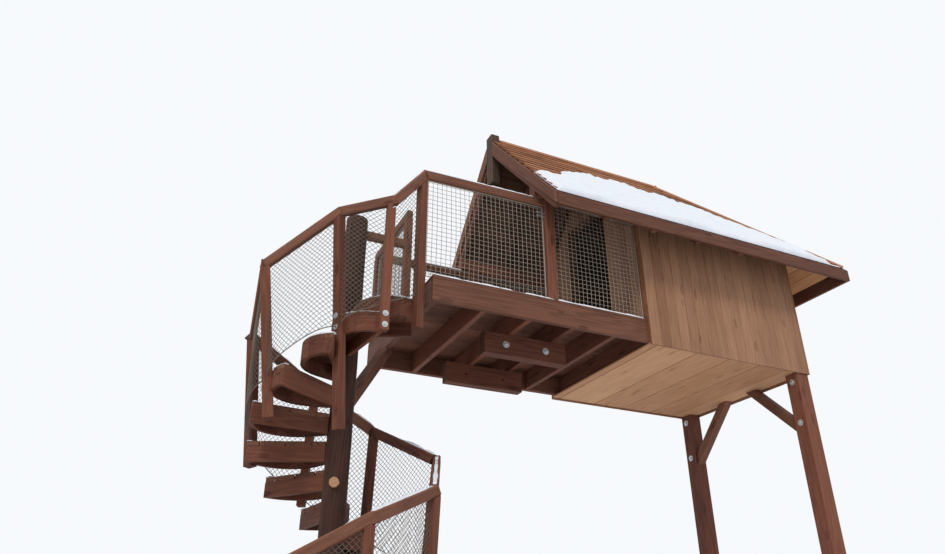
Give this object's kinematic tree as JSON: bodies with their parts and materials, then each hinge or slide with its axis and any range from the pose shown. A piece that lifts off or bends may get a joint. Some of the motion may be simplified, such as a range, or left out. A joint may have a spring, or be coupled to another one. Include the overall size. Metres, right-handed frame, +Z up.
{
  "type": "tree house with a winder stair",
  "caption": "Raised timber cabin with a hipped roof, a netted porch and deck, and a winder stair round a log pole; it rests on the pole and two square posts.",
  "frame": {"origin": "foot of the stair's log pole, at the middle of its flat end on the ground", "axes": "+Z up, +X along the deck and the cabin's ridge, away from the stair, +Y across the deck"},
  "size_m": [5.8119, 2.54, 6.725],
  "materials": {
    "red_cedar_stain": "satin stain",
    "brown_stain": "satin stain",
    "tan_boards": "satin stain",
    "log_wood": "weathered",
    "roof_boards": "weathered",
    "net_cord": "matte"
  },
  "bodies": {
    "root": {"stair_pole": "log_wood", "stair_treads": "brown_stain", "stair_skirts": "red_cedar_stain", "stair_posts_lower": "red_cedar_stain", "stair_posts_upper": "red_cedar_stain", "stair_rails_lower": "brown_stain", "stair_rails_upper": "brown_stain", "stair_nets_lower": "net_cord", "stair_nets_upper": "net_cord", "pole_tie": "brown_stain", "pole_brace": "brown_stain", "rim_near": "brown_stain", "rim_far": "brown_stain", "rim_left": "brown_stain", "rim_right": "brown_stain", "floor_joists": "red_cedar_stain", "deck_floor": "brown_stain", "floor_lining": "tan_boards", "trunk_bearers": "red_cedar_stain", "support_posts": "red_cedar_stain", "post_braces": "brown_stain", "deck_posts": "red_cedar_stain", "deck_rails": "brown_stain", "deck_net_near": "net_cord", "deck_net_far": "net_cord", "deck_net_left": "net_cord", "porch_nets": "net_cord", "wall_near": "tan_boards", "wall_far": "tan_boards", "wall_end": "tan_boards", "wall_front_near": "tan_boards", "wall_front_far": "tan_boards", "wall_over_door": "tan_boards", "porch_posts": "red_cedar_stain", "wall_plates": "brown_stain", "ridge_beam": "brown_stain", "rafters": "brown_stain", "roof_near": "roof_boards", "roof_far": "roof_boards", "roof_hip": "roof_boards", "barge_boards": "brown_stain", "eave_fascias": "brown_stain", "king_block": "log_wood"}
  },
  "joints": []
}
